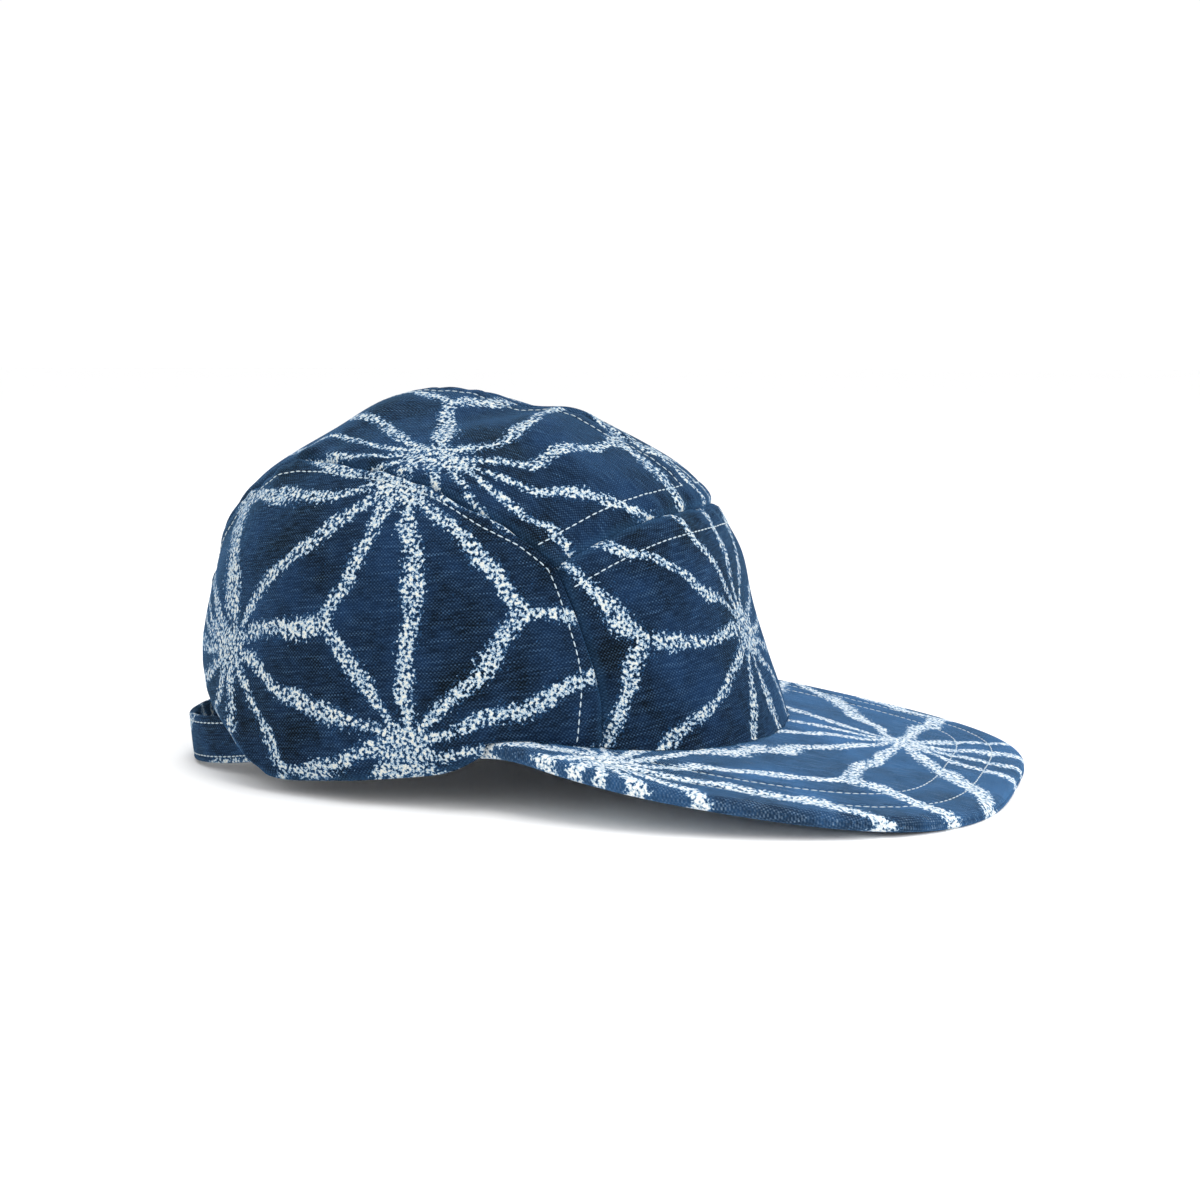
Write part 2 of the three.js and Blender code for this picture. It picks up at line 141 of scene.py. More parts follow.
rest = {"press": 0.5, "peakLowInset": 1.5, "peakLowDrop": 4.4}


def curveThrough(rows):
    rows = np.array(rows, float)
    key = rows[:, 0]
    last = len(rows) - 1
    before = np.maximum(np.arange(last + 1) - 1, 0)
    after = np.minimum(np.arange(last + 1) + 1, last)
    slope = (rows[after] - rows[before]) / (key[after] - key[before])[:, None]

    def at(where):
        where = np.asarray(where, float)
        i = np.clip(np.searchsorted(key, where) - 1, 0, last - 1)
        span = (key[i + 1] - key[i])[..., None]
        s = (where - key[i])[..., None] / span
        p, q, m, n = rows[i], rows[i + 1], slope[i] * span, slope[i + 1] * span
        curve = p * (1 + 2 * s) * (1 - s) ** 2 + m * s * (1 - s) ** 2
        curve += q * s * s * (3 - 2 * s) + n * s * s * (s - 1)
        return np.where(s < 0, p + m * s, curve)

    return at


def power(value, exponent):
    return np.sign(value) * np.abs(value) ** exponent


def unit(vectors):
    return vectors / np.maximum(np.linalg.norm(vectors, axis=-1, keepdims=True), 1e-9)


def bell(distance, at, reach):
    return np.exp(-((distance - at) / reach) ** 2)


levelAt = curveThrough(crown["levels"])
crossSeamAt = curveThrough(crown["crossSeam"])
openingAt = curveThrough(crown["rearOpening"])
hemAt = curveThrough(crown["sideHem"])
sideSeamAt = curveThrough([(i,) + row for i, row in enumerate(crown["sideSeam"])])
strapAt = curveThrough(strap["path"])


# The disc map: the crown laid flat, its top at (0, 0) and its rim at distance 1
def onDisc(turn, level):
    angle = np.radians(turn)
    return np.stack([(1 - level) * np.cos(angle), (1 - level) * np.sin(angle)], -1)


# A place on the crown's surface, and the way out from it
def crownPoint(disc):
    distance = np.maximum(np.linalg.norm(disc, axis=-1), 1e-6)
    _, height, front, back, half = np.moveaxis(levelAt(1 - distance), -1, 0)
    middle = np.clip((front - back) / 2, -crown["middleMost"], crown["middleMost"])
    ahead = np.where(disc[..., 0] > 0, front - middle, back + middle)
    exponent = 2 / crown["squareness"]
    forward = middle + ahead * power(disc[..., 0] / distance, exponent)
    right = half * power(disc[..., 1] / distance, exponent)
    return np.stack([forward, right, height], -1)


def crownNormal(disc, step=0.012):
    distance = np.linalg.norm(disc, axis=-1, keepdims=True)
    far = np.where(distance < step * 2, unit(disc + 1e-9) * step * 2, disc)
    radial = unit(far)
    around = np.stack([-radial[..., 1], radial[..., 0]], -1)
    down = crownPoint(far + radial * step) - crownPoint(far - radial * step)
    along = crownPoint(far + around * step) - crownPoint(far - around * step)
    return unit(np.cross(down, along))


def foldHeight(disc):
    height = np.zeros(disc.shape[:-1])
    for turn, level, length, width, lean, out in folds:
        offset = (disc - onDisc(turn, level)) * crown["discRadius"]
        angle = math.radians(turn + lean)
        x = offset[..., 0] * math.cos(angle) + offset[..., 1] * math.sin(angle)
        y = offset[..., 1] * math.cos(angle) - offset[..., 0] * math.sin(angle)
        height += out * np.exp(-(x / length) ** 2 - (y / width) ** 2)
    return height


def peakHeight(forward, right):
    p = peakBoard
    behind = np.maximum(0, p["cornerFrom"] - forward) / (p["cornerFrom"] - p["backEdge"])
    fall = math.tan(p["slope"]) * (forward - p["rootForward"])
    bow = p["crossDrop"] * (right / p["crossDropAt"]) ** 2
    return p["rootHeight"] - fall - bow - p["cornerDrop"] * behind ** 2


# The crown's lower edge: on the peak in front, and on its own hem behind
def hemPoint(turn):
    turn = np.asarray(turn, float)
    perLevel = (crown["levels"][2][1] - crown["levels"][1][1]) / crown["levels"][2][0]
    bare = crownPoint(onDisc(turn, np.zeros_like(turn)))
    onPeak = peakHeight(bare[..., 0], bare[..., 1]) + cloth["peakGap"]
    behind = np.abs(turn) > crown["sideHem"][0][0]
    height = np.where(behind, hemAt(np.abs(turn))[..., 1], onPeak)
    return onDisc(turn, height / perLevel)


# How the cap comes to rest: the rear of the strap and the front of the peak touch the floor
strapRear = strapAt(180)
tailForward = -levelAt(0)[3] + strapRear[1]
tailUp = strapRear[2]
peakLowForward = peakBoard["reach"] - rest["peakLowInset"]
peakLowUp = peakHeight(peakLowForward, 0) - rest["peakLowDrop"]
restTilt = math.atan2(tailUp - peakLowUp, peakLowForward - tailForward)
floorDrop = math.cos(restTilt) * tailUp + math.sin(restTilt) * tailForward + rest["press"]
tipUp = peakHeight(peakBoard["reach"], 0) - peakBoard["thickness"] / 2
tipForward = math.cos(restTilt) * peakBoard["reach"] - math.sin(restTilt) * tipUp
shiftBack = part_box("peak")[0].y / millimetre + tipForward


def restDirection(vectors):
    forward = math.cos(restTilt) * vectors[..., 0] - math.sin(restTilt) * vectors[..., 2]
    up = math.cos(restTilt) * vectors[..., 2] + math.sin(restTilt) * vectors[..., 0]
    return np.stack([-vectors[..., 1], -forward, up], -1)


def atRest(points):
    placed = restDirection(points) + (0, shiftBack, -floorDrop)
    placed[..., 2] = np.maximum(placed[..., 2], 0)
    return placed * millimetre


# Lengths along rows of points, from the first point of each
def lengths(points, axis=0):
    steps = np.linalg.norm(np.diff(points, axis=axis), axis=-1)
    pad = [(0, 0)] * steps.ndim
    pad[axis] = (1, 0)
    return np.pad(np.cumsum(steps, axis=axis), pad)


# Lengths up the crown and round it, for the weave and the print
def climb(turn, fromLevel, toLevel, steps=24):
    part = np.linspace(0, 1, steps + 1)
    levels = fromLevel + (toLevel - fromLevel)[..., None] * part
    points = crownPoint(onDisc(np.broadcast_to(turn[..., None], levels.shape), levels))
    length = np.linalg.norm(np.diff(points, axis=-2), axis=-1).sum(-1)
    return length * np.sign(toLevel - fromLevel)


aroundTurns = np.linspace(-200, 200, 801)
aroundLengths = lengths(crownPoint(onDisc(aroundTurns, np.full(len(aroundTurns), crown["girthLevel"]))))
aroundLengths -= aroundLengths[len(aroundTurns) // 2]


def wallFlat(disc):
    turn = np.degrees(np.arctan2(disc[..., 1], disc[..., 0]))
    level = 1 - np.linalg.norm(disc, axis=-1)
    return np.stack([np.interp(turn, aroundTurns, aroundLengths), climb(turn, 0.0, level)], -1)


def topFlat(disc):
    turn = np.degrees(np.arctan2(disc[..., 1], disc[..., 0]))
    level = 1 - np.linalg.norm(disc, axis=-1)
    return unit(crownPoint(disc)[..., :2]) * np.abs(climb(turn, 1.0, level))[..., None]


# A thin plate bent close to the given places; ease lets it miss them a little and stay smooth
def warpThrough(places, targets, ease=200):
    places = np.array(places, float)
    count = len(places)

    def bend(points):
        square = ((points[..., None, :] - places) ** 2).sum(-1)
        return square * np.log(square + 1e-9) / 2

    system = np.zeros((count + 3, count + 3))
    system[:count, :count] = bend(places) + np.eye(count) * ease
    system[:count, count] = 1
    system[:count, count + 1:] = places
    system[count:, :count] = system[:count, count:].T
    weights = np.linalg.solve(system, np.vstack([np.array(targets, float), np.zeros((3, 2))]))

    def at(points):
        return bend(points) @ weights[:count] + weights[count] + points @ weights[count + 1:]

    return at


# Print nodes: steps a and b over the print's triangles, and the place on the piece
def lattice(a, b):
    return (a + b / 2, b * math.sqrt(3) / 2)


def spots(nodes, flat):
    turn, level = np.array(nodes, float)[:, 2:].T
    return warpThrough(flat(onDisc(turn, level)), [lattice(a, b) for a, b, _, _ in nodes])


def regularPrint(hub, edge, lean):
    angle = math.radians(lean)
    step = np.array([math.cos(angle), math.sin(angle)]) * edge
    across = np.array([math.cos(angle + math.pi / 3), math.sin(angle + math.pi / 3)]) * edge
    hub = np.array(hub, float)
    return warpThrough([hub, hub + step, hub + across], [lattice(0, 0), lattice(1, 0), lattice(0, 1)])


def addObject(name, data):
    thing = bpy.data.objects.new(name, data)
    bpy.context.scene.collection.objects.link(thing)
    return thing


def makeMesh(name, points, faces, layers, values):
    volume = 0
    for triangle in ([0, 1, 2], [0, 2, 3]):
        corners = points[faces[:, triangle]]
        volume += np.einsum("ij,ij->i", corners[:, 0], np.cross(corners[:, 1], corners[:, 2])).sum()
    if volume < 0:
        faces = faces[:, ::-1]
    mesh = bpy.data.meshes.new(name)
    mesh.from_pydata(points.tolist(), [], faces.tolist())
    loopVertices = np.empty(len(mesh.loops), np.int32)
    mesh.loops.foreach_get("vertex_index", loopVertices)
    for layer, flat in layers.items():
        mesh.uv_layers.new(name=layer).data.foreach_set("uv", flat[loopVertices].astype(np.float32).ravel())
    for attribute, numbers in values.items():
        mesh.attributes.new(attribute, "FLOAT", "POINT").data.foreach_set("value", numbers.astype(np.float32))
    mesh.polygons.foreach_set("use_smooth", np.ones(len(mesh.polygons), bool))
    return addObject(name, mesh)


def wallFaces(rows, columns):
    i, j = np.meshgrid(np.arange(rows - 1), np.arange(columns - 1), indexing="ij")
    corner = (i * columns + j).ravel()
    outer = np.stack([corner, corner + columns, corner + columns + 1, corner + 1], -1)
    inner = outer[:, ::-1] + rows * columns
    low = np.arange(rows - 1) * columns
    high = low + columns - 1
    left = np.arange(columns - 1)
    right = left + (rows - 1) * columns
    other = rows * columns
    rims = [
        np.stack([low, low + other, low + columns + other, low + columns], -1),
        np.stack([high + columns, high + columns + other, high + other, high], -1),
        np.stack([left + 1, left + 1 + other, left + other, left], -1),
        np.stack([right, right + other, right + 1 + other, right + 1], -1),
    ]
    return np.concatenate([outer, inner] + rims)


# Faces round a closed ring of points, row after row, and over both of its ends
def ringFaces(rows, count):
    i, j = np.meshgrid(np.arange(rows - 1), np.arange(count), indexing="ij")
    a = (i * count + j).ravel()
    b = (i * count + (j + 1) % count).ravel()
    sides = np.stack([a, b, b + count, a + count], -1)
    low = np.arange(count // 2 - 1)
    high = count - 1 - low
    cap = np.stack([low, low + 1, high - 1, high], -1)
    return np.concatenate([sides, cap, cap[:, ::-1] + (rows - 1) * count])


def mix(a, b, s):
    return a + (b - a) * s


# The four edges of each panel on the disc, for the right half
def seamPoint(index):
    row = sideSeamAt(index)
    return onDisc(row[..., 1], row[..., 2])


def seamFront(s):
    start = hemPoint(crown["sideSeam"][0][0])
    up = seamPoint(mix(crown["leaveRow"], crown["junctionRow"], s))
    return np.where((s == 0)[..., None], start, up)


def seamTop(s):
    return seamPoint(mix(crown["junctionRow"], len(crown["sideSeam"]) - 1, s))


def seamCross(s):
    turn = mix(0, crown["sideSeam"][crown["junctionRow"]][0], s)
    return onDisc(turn, crossSeamAt(turn)[..., 1])


def openingEdge(start, end):
    def at(s):
        turn = mix(start, end, s)
        return onDisc(turn, openingAt(turn)[..., 1])
    return at


def mirrored(edge):
    def at(s):
        return edge(s) * (1, -1)
    return at


def centreSeam(s):
    x = mix(1 - crossSeamAt(0)[1], openingAt(180)[1] - 1, s)
    return np.stack([x, np.zeros_like(s)], -1)


def frontTop(s):
    left = mirrored(seamCross)(np.clip(1 - 2 * s, 0, 1))
    right = seamCross(np.clip(2 * s - 1, 0, 1))
    return np.where((s < 0.5)[..., None], left, right)


sideStart = crown["sideSeam"][0][0]
sideEdges = {
    "bottom": lambda s: hemPoint(mix(sideStart, crown["openingStart"], s)),
    "top": seamTop,
    "start": seamFront,
    "end": openingEdge(crown["openingStart"], crown["openingCorner"]),
}
topEdges = {
    "bottom": centreSeam,
    "top": seamTop,
    "start": seamCross,
    "end": openingEdge(180, crown["openingCorner"]),
}
frontEdges = {
    "bottom": lambda s: hemPoint(mix(-sideStart, sideStart, s)),
    "top": frontTop,
    "start": mirrored(seamFront),
    "end": seamFront,
}


def blended(edges, u, v):
    one = np.array([1.0])
    zero = np.array([0.0])
    bottom, top = edges["bottom"](u)[:, None], edges["top"](u)[:, None]
    start, end = edges["start"](v)[None], edges["end"](v)[None]
    a, b = u[:, None, None], v[None, :, None]
    disc = bottom * (1 - b) + top * b + start * (1 - a) + end * a
    disc = disc - edges["bottom"](zero) * (1 - a) * (1 - b) - edges["bottom"](one) * a * (1 - b)
    return disc - edges["top"](zero) * (1 - a) * b - edges["top"](one) * a * b


def stations(length):
    rim = np.array(cloth["rimSteps"]) * cloth["rim"]
    body = np.linspace(cloth["rim"], length - cloth["rim"], max(4, int(length / cloth["spacing"])))
    over = cloth["seamOverlap"]
    return (np.concatenate([rim[:-1], body, length - rim[-2::-1]]) * (1 + 2 * over / length) - over) / length


# Soft waves in a few directions, always the same for a seed
def waves(x, y, seed, size, count=5):
    random = np.random.default_rng(seed)
    total = np.zeros(np.broadcast(x, y).shape)
    for _ in range(count):
        angle = random.uniform(0, math.tau)
        phase = random.uniform(0, math.tau)
        stretch = random.uniform(0.7, 1.5)
        total += np.sin((x * math.cos(angle) + y * math.sin(angle)) * math.tau / (size * stretch) + phase)
    return total / math.sqrt(count)


def ramp(value, low, high):
    s = np.clip((value - low) / (high - low), 0, 1)
    return s * s * (3 - 2 * s)


# How each kind of edge shapes the cloth beside it, by the distance from it
def edgeRelief(kind, away, beside, seed):
    c = cloth
    pull = waves(beside, away * c["puckerSlant"], seed, c["puckerLength"]) * bell(away, 0, c["puckerReach"])
    pull *= c["pucker"][kind]
    if kind == "hem":
        roll = c["hemRoll"] * bell(away, c["hemRollAt"], c["hemRollReach"])
        return pull + roll - c["hemDip"] * bell(away, 0, c["hemReach"])
    dip = c["seamDip"] * bell(away, 0, c["seamReach"])
    if kind == "rolled":
        return pull + c["rollOut"] * bell(away, c["rollAt"], c["rollReach"]) - dip
    raised = c["allowanceRise"] * (1 - ramp(away - c["allowance"], *c["allowanceEdge"]))
    sunk = c["stitchSink"] * bell(away, c["allowance"], c["stitchReach"])
    return pull + raised - sunk - dip


# One panel of the crown: a closed wall of cloth between four edges, its points spread by its lengths
def panel(name, edges, kinds, flat, printAt, grain, side=1, seed=1):
    ends = np.array([0.0, 0.5, 1.0])
    rough = crownPoint(blended(edges, np.linspace(0, 1, 41), ends))
    alongLength = lengths(rough, 0)[-1].max()
    rough = crownPoint(blended(edges, ends, np.linspace(0, 1, 41)))
    upLength = lengths(rough, 1)[:, -1].max()
    disc = blended(edges, stations(alongLength), stations(upLength)) * (1, side)
    base = crownPoint(disc)
    normal = crownNormal(disc)
    along, up = lengths(base, 0), lengths(base, 1)
    away = {
        "start": along, "end": along[-1:] - along,
        "bottom": up, "top": up[:, -1:] - up,
    }
    x, y = np.moveaxis(disc, -1, 0) * crown["discRadius"]
    relief = foldHeight(disc) + waves(x, y, seed, cloth["rippleLength"]) * cloth["ripple"]
    for i, (edge, kind) in enumerate(kinds.items()):
        beside = up if edge in ("start", "end") else along
        relief = relief + edgeRelief(kind, away[edge], beside, seed * 10 + i)
    nearest = np.minimum.reduce([away["start"], away["end"], away["bottom"], away["top"]])
    inward = 1 - np.clip(nearest / cloth["rim"], 0, 1)
    half = cloth["thickness"] / 2 * np.sqrt(1 - inward ** 2)
    sheets = []
    for shift in (relief - cloth["thickness"] / 2 + half, relief - cloth["thickness"] / 2 - half):
        sheet = base + normal * shift[..., None]
        front = np.abs(np.arctan2(disc[..., 1], disc[..., 0])) <= math.radians(peakBoard["seatTurn"])
        seat = peakHeight(sheet[..., 0], sheet[..., 1]) + cloth["peakGap"]
        sheet[..., 2] = np.where(front, np.maximum(sheet[..., 2], seat), sheet[..., 2])
        sheets.append(sheet)
    rows, columns = disc.shape[:2]
    points = atRest(np.concatenate([sheet.reshape(-1, 3) for sheet in sheets]))
    spread = flat(disc).reshape(-1, 2)
    angle = math.radians(grain)
    turned = spread @ np.array([[math.cos(angle), math.sin(angle)], [-math.sin(angle), math.cos(angle)]])
    layers = {
        "cloth": np.tile(turned * millimetre, (2, 1)),
        "print": np.tile(printAt["warp"](spread), (2, 1)),
    }
    values = {
        "printEdge": np.full(rows * columns * 2, printAt["edge"]),
        "seamAway": np.tile(nearest.ravel(), 2),
    }
    piece = makeMesh(name + "_cloth", points, wallFaces(rows, columns), layers, values)
    dress(piece, crownMaterial, name)
    print("panel", name, len(piece.data.polygons))
    return {"sheet": sheets[0], "away": away}


# A row at a set distance from one edge of a panel, between set distances from its neighbours
def rowBeside(grid, edge, distance, trims):
    sheet, away = grid["sheet"], grid["away"]
    slopes = np.gradient(sheet, axis=0), np.gradient(sheet, axis=1)
    normal = unit(np.cross(slopes[0], slopes[1]))
    outward = np.sign((normal * (sheet - sheet.mean((0, 1)) * (1, 1, 0))).sum())
    both = np.concatenate([sheet, normal * outward], -1)
    across = away[edge]
    if edge in ("start", "end"):
        both, across = np.swapaxes(both, 0, 1), across.T
        ends = away["bottom"].T, away["top"].T
    else:
        ends = away["start"], away["end"]
    row = []
    for line, reach, first, last in zip(both, across, ends[0], ends[1]):
        order = np.argsort(reach)
        spot = [np.interp(distance, reach[order], line[order, k]) for k in range(6)]
        low = np.interp(distance, reach[order], first[order])
        high = np.interp(distance, reach[order], last[order])
        if low >= trims[0] and high >= trims[1]:
            row.append(spot)
    return np.array(row)


def hexColour(code):
    parts = [int(code[i:i + 2], 16) / 255 for i in (1, 3, 5)]
    return tuple(p / 12.92 if p <= 0.04045 else ((p + 0.055) / 1.055) ** 2.4 for p in parts) + (1.0,)


def addNode(tree, kind, settings=None, inputs=None):
    node = tree.nodes.new(kind)
    for name, value in (settings or {}).items():
        setattr(node, name, value)
    for socket, value in (inputs or {}).items():
        if isinstance(value, bpy.types.Node):
            value = value.outputs[0]
        if isinstance(value, bpy.types.NodeSocket):
            tree.links.new(value, node.inputs[socket])
        else:
            node.inputs[socket].default_value = value
    return node


def newMaterial(name):
    material = bpy.data.materials.new(name)
    material.use_nodes = True
    material.node_tree.nodes.clear()
    return material, material.node_tree


crownCloth = {
    # indigo, deep and worn; slubs and bare lint; the paste's white, thick and thin; its bleeding edge
    "dark": "#050c14", "blue": "#162f4f", "slub": "#3d6890", "lint": "#5f83a6",
    "paste": "#d8d8ce", "thinPaste": "#8baac2", "halo": "#285480",
    # the print, in millimetres; hubTaper, hubEdge, dense and wander are shares
    "lineHalf": 2.15, "hubTaper": 0.6, "hubHalf": 7.5, "hubEdge": 0.6, "dense": 0.018,
    "crumb": 1.0, "crumbFade": (-2.0, 1.3),
    "swell": 3.0, "swellLength": 12.5, "wander": 0.14, "wanderLength": 23.8,
    # the weave, in millimetres
    "thread": 0.55, "threadRun": 4, "wobble": 0.7, "wobbleLength": 3.85,
    "slubLength": 13, "slubWidth": 0.786, "cloud": 24, "seamWear": (3.0, 0.8), "relief": 0.4,
    "roughness": 0.86, "sheen": 0.4, "sheenColour": "#6db2f2",
}
# The peak's cloth: the crown's indigo with lighter dye, lint and paste. That lightness is painted light, as
# if lit from above. It also has a higher sheen and a denser, wider print.
litPeakCloth = dict(crownCloth, dark="#142338", blue="#2f5682", lint="#9db9d2", sheen=0.7, paste="#eceeea",
                 dense=0.085, lineHalf=2.5)


# Plain-woven slub cotton, dyed indigo over a resist: dry and dull, with a fuzz that catches light,
# and a print that is broken where the paste crumbled. Its threads are 0.55 mm apart, as on the
# real cloth, so a rib of one over and one under is 1.1 mm.
def indigoCotton(name, c):
    material, tree = newMaterial(name)
    position = addNode(tree, "ShaderNodeTexCoord").outputs["Object"]
    clothMap = addNode(tree, "ShaderNodeUVMap", {"uv_map": "cloth"})
    printMap = addNode(tree, "ShaderNodeUVMap", {"uv_map": "print"})
    made = {
        "edge": addNode(tree, "ShaderNodeAttribute", {"attribute_name": "printEdge"}).outputs["Fac"],
        "seamAway": addNode(tree, "ShaderNodeAttribute", {"attribute_name": "seamAway"}).outputs["Fac"],
    }

    # patches over the piece: size, detail, roughness
    for label, size, detail, roughness in (
        ("fleck", "crumb", 2, 0.55), ("mottle", "cloud", 3, 0.6), ("swell", "swellLength", 1, 0.5),
        ("wander", "wanderLength", 1, 0.5), ("wobble", "wobbleLength", 1, 0.5),
    ):
        made[label] = addNode(tree, "ShaderNodeTexNoise", {}, {
            "Vector": position, "Scale": 1 / (c[size] * millimetre), "Detail": detail, "Roughness": roughness,
        })
    # streaks along and across the threads: size each way, detail
    for label, sizeAlong, sizeAcross, detail in (
        ("weft", "threadRun", "thread", 1.5), ("warp", "thread", "threadRun", 1.5),
        ("thick", "slubLength", "slubWidth", 1),
    ):
        scale = (1 / (c[sizeAlong] * millimetre), 1 / (c[sizeAcross] * millimetre), 1)
        stretched = addNode(tree, "ShaderNodeMapping", {}, {"Vector": clothMap, "Scale": scale})
        inputs = {"Vector": stretched, "Scale": 1, "Detail": detail}
        made[label] = addNode(tree, "ShaderNodeTexNoise", {}, inputs)

    # the print's lines wander over the cloth, and the threads over each other
    drift = addNode(tree, "ShaderNodeVectorMath", {"operation": "MULTIPLY_ADD"}, {
        0: made["wander"].outputs["Color"], 1: (c["wander"],) * 3, 2: (-c["wander"] / 2,) * 3,
    })
    onPrint = addNode(tree, "ShaderNodeVectorMath", {"operation": "ADD"}, {0: printMap, 1: drift})
    onCloth = addNode(tree, "ShaderNodeVectorMath", {"operation": "MULTIPLY_ADD"}, {
        0: made["wobble"].outputs["Color"], 1: (c["wobble"] * millimetre,) * 3, 2: clothMap,
    })
    for place, first, second in ((onPrint, "u", "v"), (onCloth, "clothX", "clothY")):
        parts = addNode(tree, "ShaderNodeSeparateXYZ", {}, {0: place})
        made[first], made[second] = parts.outputs[0], parts.outputs[1]

    perThread = math.pi / (c["thread"] * millimetre)
    steps = [
        # the star print: steps over its triangles, then the place between a triangle's corners
        ("b", "MULTIPLY", "v", 2 / math.sqrt(3)), ("a", "MULTIPLY_ADD", "b", -0.5, "u"),
        ("partA", "FRACT", "a"), ("partB", "FRACT", "b"),
        ("sum", "ADD", "partA", "partB"), ("upper", "GREATER_THAN", "sum", 1.0),
        ("flip", "MULTIPLY_ADD", "upper", -2.0, 1.0),
        ("cornerA", "MULTIPLY_ADD", "partA", "flip", "upper"),
        ("cornerB", "MULTIPLY_ADD", "partB", "flip", "upper"),
        ("rest", "SUBTRACT", 1.0, "cornerA"), ("cornerC", "SUBTRACT", "rest", "cornerB"),
        ("lower", "MINIMUM", "cornerA", "cornerB"), ("least", "MINIMUM", "lower", "cornerC"),
        ("higher", "MAXIMUM", "cornerA", "cornerB"), ("most", "MAXIMUM", "higher", "cornerC"),
        ("others", "SUBTRACT", 1.0, "least"), ("middle", "SUBTRACT", "others", "most"),
        ("toSide", "MULTIPLY", "least", math.sqrt(3) / 2),
        ("gap", "SUBTRACT", "middle", "least"), ("toRay", "MULTIPLY", "gap", 0.5),
        ("nearest", "MINIMUM", "toSide", "toRay"), ("distance", "MULTIPLY", "nearest", "edge"),
        # how far inside a drawn line or a hub, in millimetres; a line narrows towards its hub
        ("width", "MULTIPLY_ADD", "swell", c["swell"], c["lineHalf"] - c["swell"] / 2),
        ("taper", "LINEAR", "most", 0.6, 0.97, 1.0, c["hubTaper"]),
        ("halfWidth", "MULTIPLY", "width", "taper"), ("onLine", "SUBTRACT", "halfWidth", "distance"),
        ("short", "SUBTRACT", 1.0, "most"), ("fromHub", "MULTIPLY", "short", "edge"),
        ("onHub", "MULTIPLY_ADD", "fromHub", -c["hubEdge"], c["hubHalf"] * c["hubEdge"]),
        ("inside", "MAXIMUM", "onLine", "onHub"),
        # the weave: which thread lies on top, and how dark it took the dye
        ("turnX", "MULTIPLY", "clothX", perThread), ("waveX", "SINE", "turnX"),
        ("turnY", "MULTIPLY", "clothY", perThread), ("waveY", "SINE", "turnY"),
        ("checks", "MULTIPLY", "waveX", "waveY"), ("onTop", "MULTIPLY_ADD", "checks", 0.5, 0.62),
        ("overWarp", "SUBTRACT", "weft", "warp"), ("threads", "MULTIPLY_ADD", "overWarp", "onTop", "warp"),
        ("weave", "MULTIPLY_ADD", "checks", 0.05, "threads"), ("clouds", "MULTIPLY", "mottle", 0.8),
        ("dye", "MULTIPLY_ADD", "weave", 0.35, "clouds"), ("deep", "LINEAR", "dye", 0.45, 0.75),
        ("height", "MULTIPLY_ADD", "checks", 0.25, "threads"),
        # crumbs of paste: dense in the middle of a line, few at its edge, most on the raised threads
        ("crumbs", "SMOOTHSTEP", "inside", *c["crumbFade"], -0.3, c["dense"]),
        ("flecks", "ADD", "fleck", "crumbs"), ("stepped", "MULTIPLY_ADD", "checks", 0.012, "flecks"),
        ("bleed", "LINEAR", "stepped", 0.38, 0.5, 0, 0.65),
        ("resist", "LINEAR", "stepped", 0.48, 0.52), ("body", "LINEAR", "stepped", 0.5, 0.66),
        # the threads' crests rubbed bare, slubs above all, and the wear along the seams
        ("crest", "LINEAR", "checks", -0.3, 0.9), ("bare", "LINEAR", "weft", 0.4, 0.75, 0.05, 0.3),
        ("slubs", "LINEAR", "thick", 0.56, 0.76, 0, 0.4), ("lifted", "ADD", "bare", "slubs"),
        ("rubbed", "MULTIPLY", "crest", "lifted"),
        ("worn", "LINEAR", "seamAway", *c["seamWear"], 0, 0.3), ("frayed", "MULTIPLY", "worn", "fleck"),
    ]
    for label, operation, *values in steps:
        inputs = {i: made[value] if isinstance(value, str) else value for i, value in enumerate(values)}
        if operation in ("LINEAR", "SMOOTHSTEP"):
            made[label] = addNode(tree, "ShaderNodeMapRange", {"interpolation_type": operation}, inputs)
        else:
            made[label] = addNode(tree, "ShaderNodeMath", {"operation": operation}, inputs)

    # layers of colour over the darkest dye: how much of each, and its colour
    colour = hexColour(c["dark"])
    for amount, over in (("deep", "blue"), ("rubbed", "lint"), ("frayed", "slub"), ("bleed", "halo")):
        inputs = {0: made[amount], 6: colour, 7: hexColour(c[over])}
        colour = addNode(tree, "ShaderNodeMix", {"data_type": "RGBA"}, inputs).outputs[2]
    pale = addNode(tree, "ShaderNodeMix", {"data_type": "RGBA"},
                   {0: made["body"], 6: hexColour(c["thinPaste"]), 7: hexColour(c["paste"])})
    printed = addNode(tree, "ShaderNodeMix", {"data_type": "RGBA"},
                      {0: made["resist"], 6: colour, 7: pale.outputs[2]})
    bump = addNode(tree, "ShaderNodeBump", {},
                   {"Strength": 0.8, "Distance": c["relief"] * millimetre, "Height": made["height"]})
    shader = addNode(tree, "ShaderNodeBsdfPrincipled", {}, {
        "Base Color": printed.outputs[2], "Normal": bump, "Roughness": c["roughness"],
        "Specular IOR Level": 0.04, "Sheen Weight": c["sheen"], "Sheen Roughness": 0.3,
        "Sheen Tint": hexColour(c["sheenColour"]),
    })
    addNode(tree, "ShaderNodeOutputMaterial", {}, {"Surface": shader})
    return material


# ply and relief are in millimetres; shade is the colour of painted shade in the grooves between the plies
thread = {"colour": "#cad8df", "shade": "#93abb9", "roughness": 0.6, "ply": 1.11, "relief": 0.2}
